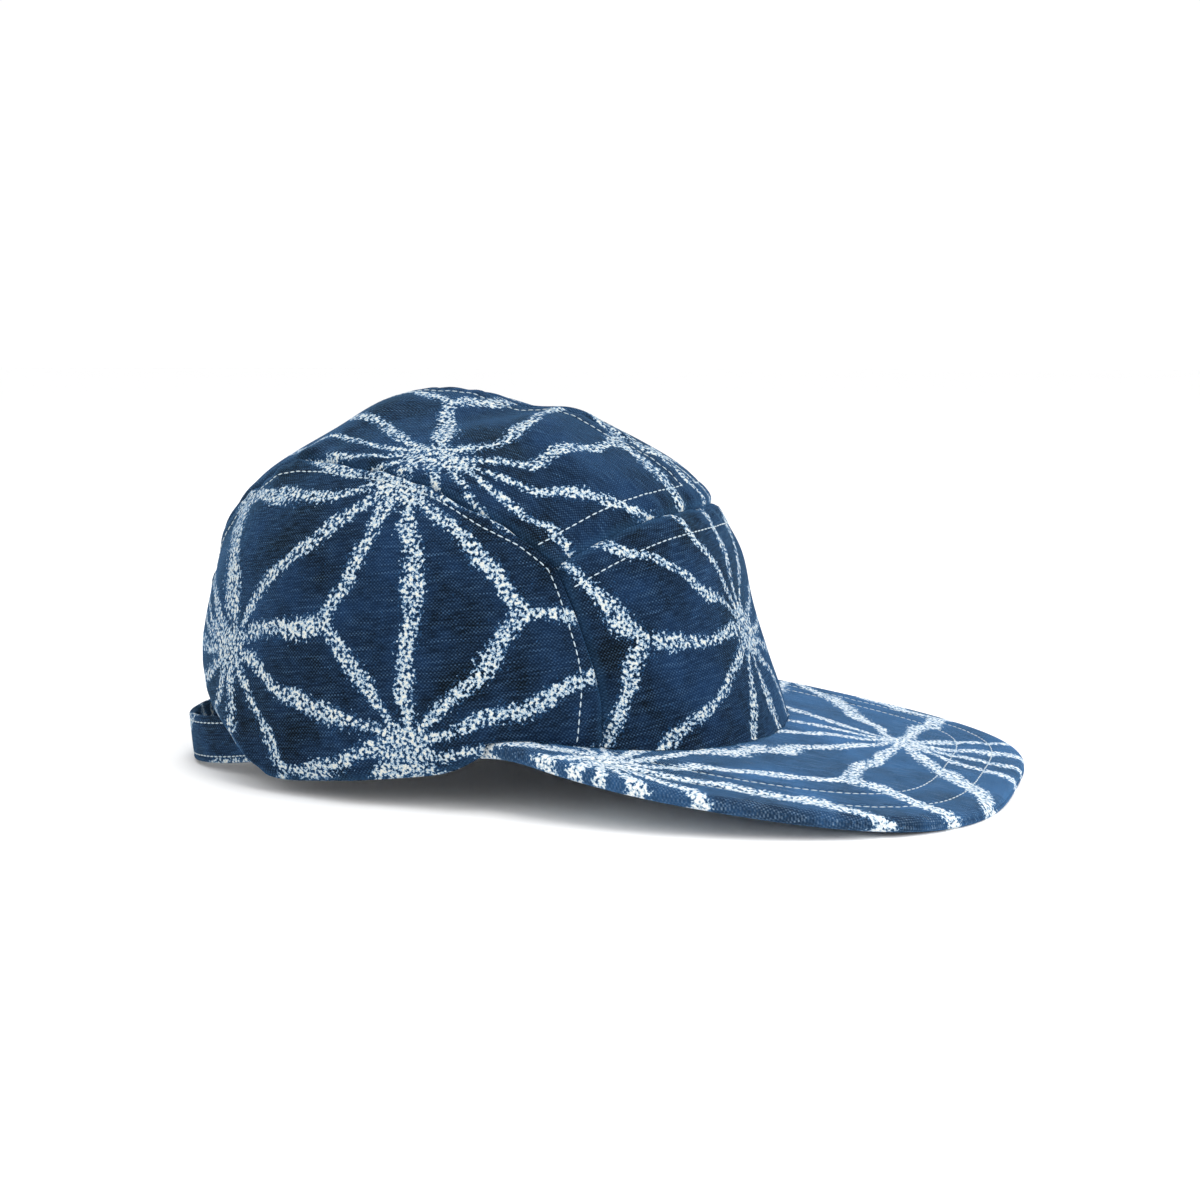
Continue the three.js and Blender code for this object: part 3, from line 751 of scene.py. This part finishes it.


# Mercerised cotton sewing thread: pale, smoother than the cloth, with the twist of its plies in its bump and
# painted shade in the grooves between them
def sewingThread(name, c):
    material, tree = newMaterial(name)
    position = addNode(tree, "ShaderNodeTexCoord").outputs["Object"]
    scale = 1 / (c["ply"] * millimetre)
    plyTwistAndShade = addNode(tree, "ShaderNodeTexNoise", {}, {"Vector": position, "Scale": scale})
    # where the plies' twist runs low the thread takes the shade colour: painted shade in its grooves
    colour = addNode(tree, "ShaderNodeMix", {"data_type": "RGBA"},
                     {0: plyTwistAndShade, 6: hexColour(c["shade"]), 7: hexColour(c["colour"])})
    bump = addNode(tree, "ShaderNodeBump", {},
                   {"Strength": 0.3, "Distance": c["relief"] * millimetre, "Height": plyTwistAndShade})
    shader = addNode(tree, "ShaderNodeBsdfPrincipled", {}, {
        "Base Color": colour.outputs[2], "Normal": bump, "Roughness": c["roughness"], "Sheen Weight": 0.2,
    })
    addNode(tree, "ShaderNodeOutputMaterial", {}, {"Surface": shader})
    return material


crownMaterial = indigoCotton("indigo slub cotton", crownCloth)
# the peak's material is a lighter copy of the crown's cloth: painted light, as if lit from above
litPeakMaterial = indigoCotton("indigo slub cotton of the peak", litPeakCloth)
threadMaterial = sewingThread("cotton sewing thread", thread)
print("materials made")


def dress(piece, material, node):
    piece.data.materials.append(material)
    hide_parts(node)
    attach(piece, "root")


frontKinds = {"bottom": "rolled", "top": "stitched", "start": "rolled", "end": "rolled"}
topKinds = {"bottom": "stitched", "top": "rolled", "start": "stitched", "end": "hem"}
sideKinds = {"bottom": "hem", "top": "stitched", "start": "stitched", "end": "hem"}

# Where the print's hubs and the middles of its triangles fall on each panel: a, b, turn, level.
# An edge is about a triangle's side in millimetres, and a shorter one gives wider lines.
frontPrint = {
    "warp": spots([(0, 0, 3, 0.152), (1, 0, 64.5, 0.432), (0, 1, 61, -0.105), (1 / 3, 1 / 3, 37, 0.177),
                   (-1, 0, -70.5, -0.096), (0, -1, -67, 0.441)], wallFlat),
    "edge": 95,
}
sidePrint = {
    "warp": spots([(0, 0, 126.5, 0.209), (1, 0, 87.5, 0.036), (0, 1, 84, 0.536), (1 / 3, 1 / 3, 98.5, 0.259),
                   (2 / 3, 2 / 3, 61, 0.245), (1, 1, 21.5, 0.2), (-1 / 3, 2 / 3, 147.5, 0.55)], wallFlat),
    "edge": 73,
}
topPrint = {
    "warp": spots([(0, 0, 72, 0.636), (1 / 3, 1 / 3, 12, 0.609), (-1 / 3, 2 / 3, 60, 0.85), (0.6, 0, 31, 0.4),
                   (2 / 3, -1 / 3, 48, 0.33), (-0.45, 0.45, 133, 0.818), (0.13, 0.13, 54.5, 0.565),
                   (0.25, 0, 54, 0.5), (0.42, 0, 44, 0.485), (0.26, -0.13, 61, 0.485)], topFlat),
    "edge": 80,
}
sideLeftPrint = {"warp": regularPrint((-118, 40), 96, 8), "edge": 90}
topLeftPrint = {"warp": regularPrint((-22, -34), 98, 20), "edge": 86}

frontGrid = panel("front_panel", frontEdges, frontKinds, wallFlat, frontPrint, 5, seed=1)
topRightGrid = panel("top_panel_right", topEdges, topKinds, topFlat, topPrint, -8, seed=2)
topLeftGrid = panel("top_panel_left", topEdges, topKinds, topFlat, topLeftPrint, 6, side=-1, seed=3)
sideRightGrid = panel("side_panel_right", sideEdges, sideKinds, wallFlat, sidePrint, 2, seed=4)
sideLeftGrid = panel("side_panel_left", sideEdges, sideKinds, wallFlat, sideLeftPrint, -5, side=-1, seed=5)
print("crown made")


# The peak
def peakOutline(s):
    p = peakBoard
    angle = s * math.pi / 2
    forward = p["backEdge"] + (p["reach"] - p["backEdge"]) * power(np.cos(angle), 2 / p["squareness"])
    tuck = p["tuck"] * (np.maximum(0, p["tuckFrom"] - forward) / (p["tuckFrom"] - p["backEdge"])) ** 2
    right = p["halfWidth"] * power(np.sin(angle), 2 / p["squareness"])
    return np.stack([forward, right - np.sign(s) * tuck], -1)


def peakRoot(s):
    disc = onDisc(s * peakBoard["rootTurn"], np.zeros_like(s))
    normal = unit(crownNormal(disc) * (1, 1, 0))[..., :2]
    return crownPoint(disc)[..., :2] - normal * peakBoard["rootInset"]


def evenly(curve, count):
    s = np.linspace(-1, 1, 4001)
    length = lengths(curve(s))
    return np.interp(np.linspace(0, length[-1], count), length, s)


outlineLine = peakOutline(evenly(peakOutline, 700))


# The way out from the peak's outline, square to it
def outlineOutward(line):
    ahead = unit(np.gradient(line, axis=0))
    outward = np.stack([ahead[:, 1], -ahead[:, 0]], -1)
    fromMiddle = line - (peakBoard["middle"], 0)
    return outward * np.sign((fromMiddle * outward).sum(-1, keepdims=True))


def fromOutline(plan):
    least = np.full(plan.shape[:-1], 1e9)
    for start in range(0, len(outlineLine), 50):
        gap = np.linalg.norm(plan[..., None, :] - outlineLine[start:start + 50], axis=-1)
        least = np.minimum(least, gap.min(-1))
    return least


def peakRelief(plan):
    p = peakBoard
    away = fromOutline(plan)
    relief = waves(plan[..., 0], plan[..., 1], 21, p["rippleLength"]) * p["ripple"]
    for distance in p["stitchRows"]:
        relief = relief - p["stitchSink"] * bell(away, distance, p["stitchReach"])
    pull = waves(plan[..., 0], plan[..., 1], 22, p["puckerLength"])
    return relief + pull * p["pucker"] * bell(away, p["puckerAt"], p["puckerReach"])


def makePeak():
    p = peakBoard
    s = evenly(peakOutline, p["sections"])
    root, edge = peakRoot(s), peakOutline(s)
    width = np.linalg.norm(root - edge, axis=-1)
    inward = unit(root - edge)
    flatParts = np.concatenate([np.linspace(0, 0.9, 48), np.linspace(0.92, 1, 8)])
    rounded = np.linspace(0, math.pi, 23)[1:-1]
    flatInset = np.minimum(p["edgeInset"], width * p["edgeShare"])
    columns = []

    # one line of points round the peak, at a distance from its edge and below its top face
    def at(distance, drop, side):
        plan = edge + inward * distance[:, None]
        height = peakHeight(plan[:, 0], plan[:, 1]) - drop + peakRelief(plan) * side
        columns.append(np.stack([plan[:, 0], plan[:, 1], height], -1))

    for part in flatParts:
        at(width - part * (width - flatInset), 0, 1)
    for angle in rounded:
        drop = p["thickness"] / 2 * (1 - math.cos(angle))
        fill = p["edgeFill"] * (1 - math.sin(angle) ** p["edgeFullness"])
        groove = p["seamGroove"] * bell(drop, p["thickness"] / 2, p["grooveReach"])
        at(flatInset * fill + groove * np.minimum(1, flatInset / p["edgeInset"]), drop, 0)
    for part in flatParts[::-1]:
        at(width - part * (width - flatInset), p["thickness"], -1)

    # the cloth runs on round the edge from above and from below, and the two meet in its middle
    points = np.stack(columns, 1)
    first, last = len(flatParts) - 1, len(flatParts) + len(rounded)
    climbed = lengths(points, 1) - lengths(points[..., :2], 1)
    extra = np.minimum(climbed - climbed[:, first:first + 1], climbed[:, last:last + 1] - climbed)
    plan = points[..., :2] + outlineOutward(edge)[:, None] * np.clip(extra, 0, None)[..., None]
    flat = plan.reshape(-1, 2)
    away = fromOutline(points[..., :2].reshape(-1, 2))
    layers = {"cloth": flat * millimetre, "print": peakPrint["warp"](flat)}
    values = {"printEdge": np.full(len(flat), peakPrint["edge"]), "seamAway": away + p["wearInset"]}
    return makeMesh("peak_cloth", atRest(points.reshape(-1, 3)), ringFaces(*points.shape[:2]), layers, values)


# The hub near the tip, the middle of the triangle beside it and the hub at the near root
peakPrint = {
    "warp": warpThrough([(131, -13), (127, 44), (67, 75)],
                        [lattice(0, 0), lattice(1 / 3, 1 / 3), lattice(1, 0)]),
    "edge": 90,
}
dress(makePeak(), litPeakMaterial, "peak")
print("peak made")


# The strap: the flat part of its faces, and the heights of their points
strapFlat = strap["width"] / 2 - strap["rim"]
strapHeights = np.linspace(-strapFlat, strapFlat, strap["faceRows"])
stitchHeight = strap["width"] / 2 - strap["stitchInset"]


def makeStrap():
    p = strap
    turn = np.linspace(p["startTurn"], 360 - p["startTurn"], p["sections"])
    disc = onDisc(turn, np.zeros(p["sections"]))
    outward = unit(crownNormal(disc) * (1, 1, 0))
    row = strapAt(np.minimum(turn, 360 - turn))
    centre = crownPoint(disc) * (1, 1, 0)
    length = lengths(centre)

    # its section: height, and depth from the outer face at 0 to the inner one at 1
    rounded = np.linspace(0, math.pi, 7)[1:-1]
    profile = [(h, 0.0) for h in strapHeights]
    profile += [(strapFlat + p["rim"] * math.sin(t), (1 - math.cos(t)) / 2) for t in rounded]
    profile += [(h, 1.0) for h in strapHeights[::-1]]
    profile += [(-strapFlat - p["rim"] * math.sin(t), (1 + math.cos(t)) / 2) for t in rounded]
    columns, flats = [], []
    for height, depth in profile:
        inwards = {0.0: 1, 1.0: -1}.get(depth, 0)
        sunk = inwards * p["stitchSink"] * bell(abs(height), stitchHeight, p["stitchReach"])
        wave = waves(length, np.full(len(length), height), 31, p["rippleLength"]) * p["ripple"]
        spot = centre - outward * (row[:, 1] + depth * p["thickness"] + sunk + wave)[:, None]
        spot[:, 2] = row[:, 2] + p["width"] / 2 + height
        columns.append(spot)
        flats.append(np.stack([length, np.full(len(length), height + depth * 2)], -1))
    points = np.stack(columns, 1)
    flat = np.stack(flats, 1).reshape(-1, 2)
    layers = {"cloth": flat * millimetre, "print": strapPrint["warp"](flat)}
    values = {
        "printEdge": np.full(len(flat), strapPrint["edge"]),
        "seamAway": np.full(len(flat), p["seamAway"]),
    }
    faces = ringFaces(*points.shape[:2])
    return makeMesh("back_strap_cloth", atRest(points.reshape(-1, 3)), faces, layers, values), points


strapPrint = {"warp": regularPrint((-5, -9), 92, 0), "edge": 92}
strapPiece, strapPoints = makeStrap()
dress(strapPiece, crownMaterial, "back_strap")
print("strap made")


# Topstitching: one small thread lump for each stitch, set along a row
stitch = {
    "pitch": 2.4, "length": 2.0, "width": 0.46, "height": 0.36, "lift": 0.08,
    # the most that one turns to a side, in radians, and how near to a seam or a hem a row comes
    "slant": 0.07, "seamClear": 2, "hemClear": 3,
}


def stitchTree():
    tree = bpy.data.node_groups.new("topstitch row", "GeometryNodeTree")
    face = tree.interface
    face.new_socket("Geometry", in_out="INPUT", socket_type="NodeSocketGeometry")
    for name in ("Pitch", "Length", "Width", "Height"):
        face.new_socket(name, in_out="INPUT", socket_type="NodeSocketFloat")
    face.new_socket("Seed", in_out="INPUT", socket_type="NodeSocketInt")
    face.new_socket("Thread", in_out="INPUT", socket_type="NodeSocketMaterial")
    face.new_socket("Geometry", in_out="OUTPUT", socket_type="NodeSocketGeometry")
    given = addNode(tree, "NodeGroupInput")
    socket = given.outputs
    curve = addNode(tree, "GeometryNodeMeshToCurve", {}, {0: socket["Geometry"]})
    row = addNode(tree, "GeometryNodeResampleCurve", {"mode": "LENGTH"},
                  {"Curve": curve, "Length": socket["Pitch"]})
    lump = addNode(tree, "GeometryNodeMeshUVSphere", {}, {"Segments": 8, "Rings": 5, "Radius": 0.5})
    size = addNode(tree, "ShaderNodeCombineXYZ", {},
                   {0: socket["Length"], 1: socket["Width"], 2: socket["Height"]})
    shaped = addNode(tree, "GeometryNodeTransform", {}, {"Geometry": lump, "Scale": size})
    tangent = addNode(tree, "GeometryNodeInputTangent")
    normal = addNode(tree, "GeometryNodeInputNamedAttribute", {"data_type": "FLOAT_VECTOR"},
                     {"Name": "clothNormal"})
    along = addNode(tree, "FunctionNodeAlignRotationToVector", {"axis": "X"}, {"Vector": tangent})
    facing = addNode(tree, "FunctionNodeAlignRotationToVector", {"axis": "Z", "pivot_axis": "X"},
                     {"Rotation": along, "Vector": normal})
    slant = addNode(tree, "FunctionNodeRandomValue", {"data_type": "FLOAT"},
                    {2: -stitch["slant"], 3: stitch["slant"], "Seed": socket["Seed"]})
    lean = addNode(tree, "ShaderNodeCombineXYZ", {}, {2: slant.outputs[1]})
    turned = addNode(tree, "FunctionNodeRotateRotation", {"rotation_space": "LOCAL"}, {0: facing, 1: lean})
    placed = addNode(tree, "GeometryNodeInstanceOnPoints", {},
                     {"Points": row, "Instance": shaped, "Rotation": turned})
    real = addNode(tree, "GeometryNodeRealizeInstances", {}, {0: placed})
    smooth = addNode(tree, "GeometryNodeSetShadeSmooth", {}, {0: real})
    coloured = addNode(tree, "GeometryNodeSetMaterial", {},
                       {"Geometry": smooth, "Material": socket["Thread"]})
    addNode(tree, "NodeGroupOutput", {}, {0: coloured})
    return tree


rowTree = stitchTree()


def stitching(name, rows, seed):
    mesh = bpy.data.meshes.new(name + " path")
    points, normals, links = [], [], []
    for row in rows:
        first = len(points)
        lifted = row[:, :3] + row[:, 3:] * stitch["lift"]
        points += atRest(lifted).tolist()
        normals += restDirection(row[:, 3:]).tolist()
        links += [(first + k, first + k + 1) for k in range(len(row) - 1)]
    mesh.from_pydata(points, links, [])
    mesh.attributes.new("clothNormal", "FLOAT_VECTOR", "POINT").data.foreach_set("vector", np.ravel(normals))
    path = addObject(name + " path", mesh)
    modifier = path.modifiers.new("stitches", "NODES")
    modifier.node_group = rowTree
    given = {size.capitalize(): stitch[size] * millimetre for size in ("pitch", "length", "width", "height")}
    given.update({"Seed": seed, "Thread": threadMaterial})
    for item in rowTree.interface.items_tree:
        if item.in_out == "INPUT" and item.name in given:
            modifier[item.identifier] = given[item.name]
    bpy.context.view_layer.update()
    evaluated = path.evaluated_get(bpy.context.evaluated_depsgraph_get())
    result = bpy.data.meshes.new_from_object(evaluated)
    result.name = name
    bpy.data.objects.remove(path)
    piece = addObject(name, result)
    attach(piece, "root")
    print("stitches", name, len(result.polygons))


inset, seamClear = cloth["allowance"], stitch["seamClear"]
for label, topGrid, sideGrid, seed in (
    ("right", topRightGrid, sideRightGrid, 1), ("left", topLeftGrid, sideLeftGrid, 2),
):
    sideRows = [rowBeside(sideGrid, "top", inset, (inset, seamClear)),
                rowBeside(sideGrid, "start", inset, (seamClear, inset))]
    topRows = [rowBeside(topGrid, "start", inset, (inset, seamClear)),
               rowBeside(topGrid, "bottom", inset, (inset, stitch["hemClear"]))]
    stitching("side_stitches_" + label, sideRows, seed)
    stitching("top_stitches_" + label, topRows, seed + 10)
frontRows = [rowBeside(frontGrid, "top", inset, (seamClear, seamClear))]
stitching("front_stitches", frontRows, 5)


def peakRow(distance, below):
    p = peakBoard
    line = peakOutline(evenly(peakOutline, 500))
    plan = line - outlineOutward(line) * distance
    turn = np.degrees(np.arctan2(plan[:, 1], plan[:, 0]))
    rim = np.linalg.norm(crownPoint(onDisc(turn, np.zeros(len(turn))))[:, :2], axis=-1)
    seen = np.linalg.norm(plan, axis=-1) > rim + p["rowClear"]
    plan = plan[seen & (fromOutline(plan) > distance - p["rowSlack"])]
    if below:
        height = peakHeight(plan[:, 0], plan[:, 1]) - p["thickness"] - peakRelief(plan)
        facing = (0, 0, -1)
    else:
        height = peakHeight(plan[:, 0], plan[:, 1]) + peakRelief(plan)
        facing = (math.sin(p["slope"]), 0, math.cos(p["slope"]))
    return np.concatenate([np.column_stack([plan, height]), np.tile(facing, (len(plan), 1))], -1)


peakRows = [peakRow(distance, below) for distance in peakBoard["stitchRows"] for below in (False, True)]
stitching("peak_stitches", peakRows, 7)


def strapRow(height):
    face = strapPoints[:, :strap["faceRows"]]
    spot = np.stack([[np.interp(height, strapHeights, line[:, k]) for k in range(3)] for line in face])
    ahead = unit(np.gradient(spot, axis=0))
    outward = np.cross(ahead, (0, 0, 1))
    outward *= np.sign((outward * spot).sum(-1, keepdims=True))
    return np.concatenate([spot, outward], -1)[strap["stitchTrim"]:-strap["stitchTrim"]]


stitching("strap_stitches", [strapRow(stitchHeight), strapRow(-stitchHeight)], 9)
print("stitching made")


# Floor, light and camera, in metres
studio = {
    "floor": "#fdfdfd", "floorSize": 40, "world": "#ffffff", "worldStrength": 1.02,
    "lightsAimAt": (0, 0, 0.05),
}


def paleFloor():
    material, tree = newMaterial("matt white studio floor")
    shader = addNode(tree, "ShaderNodeBsdfPrincipled", {}, {
        "Base Color": hexColour(studio["floor"]), "Roughness": 0.8, "Specular IOR Level": 0.1,
    })
    addNode(tree, "ShaderNodeOutputMaterial", {}, {"Surface": shader})
    return material


half = studio["floorSize"] / 2
floorMesh = bpy.data.meshes.new("floor")
corners = [(-half, -half, 0), (half, -half, 0), (half, half, 0), (-half, half, 0)]
floorMesh.from_pydata(corners, [], [(0, 1, 2, 3)])
floorMesh.materials.append(paleFloor())
floor = addObject("floor", floorMesh)

world = bpy.data.worlds.new("studio")
bpy.context.scene.world = world
world.use_nodes = True
world.node_tree.nodes["Background"].inputs[0].default_value = hexColour(studio["world"])
world.node_tree.nodes["Background"].inputs[1].default_value = studio["worldStrength"]
bpy.context.scene.view_settings.view_transform = "Standard"


def aim(thing, target):
    thing.rotation_euler = (thing.location - target).to_track_quat("Z", "Y").to_euler()


lights = [
    # name, place, size, power
    ("top", (-0.05, -0.3, 1.7), 1.2, 13),
    ("key", (-0.5, -1.5, 1.0), 1.1, 10),
    ("back", (0.9, 0.7, 1.3), 1.2, 2),
]
for name, place, size, strength in lights:
    data = bpy.data.lights.new(name, "AREA")
    data.size = size
    data.energy = strength
    light = addObject(name, data)
    light.location = place
    aim(light, Vector(studio["lightsAimAt"]))

# azimuth and elevation in degrees, lens and sensor in millimetres
camera = {
    "azimuth": 288.4, "elevation": 7.1, "distance": 0.62, "lookAt": (0, -0.002, 0.052),
    "lens": 58.5, "sensor": 36,
}
a, e = math.radians(camera["azimuth"]), math.radians(camera["elevation"])
outward = Vector((math.sin(a) * math.cos(e), -math.cos(a) * math.cos(e), math.sin(e)))
cameraData = bpy.data.cameras.new("camera")
cameraData.lens = camera["lens"]
cameraData.sensor_width = camera["sensor"]
cameraObject = addObject("camera", cameraData)
cameraObject.location = Vector(camera["lookAt"]) + outward * camera["distance"]
aim(cameraObject, Vector(camera["lookAt"]))
bpy.context.scene.camera = cameraObject

print("scene done")
